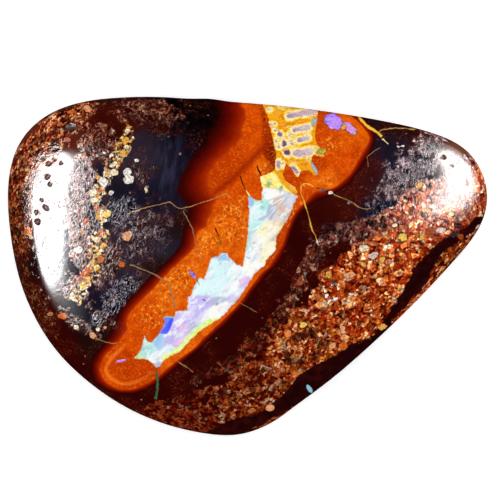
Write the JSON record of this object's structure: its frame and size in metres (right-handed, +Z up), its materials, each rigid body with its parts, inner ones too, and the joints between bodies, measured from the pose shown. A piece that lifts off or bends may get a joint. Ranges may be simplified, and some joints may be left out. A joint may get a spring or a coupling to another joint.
{
  "type": "polished freeform boulder opal",
  "caption": "Polished freeform stone of dark ironstone crossed by a seam of opal, domed on its face and flat on its sawn back.",
  "frame": {"origin": "middle of the bounding box in plan, at the height of the flat sawn back", "axes": "+X along the stone's length towards its narrow end, +Y across its width towards its long straight edge, +Z up out of the domed polished face"},
  "size_m": [0.038, 0.0268, 0.007],
  "materials": {
    "boulder_opal": "polished"
  },
  "bodies": {
    "root": {"boulder_opal": "boulder_opal"}
  },
  "joints": []
}
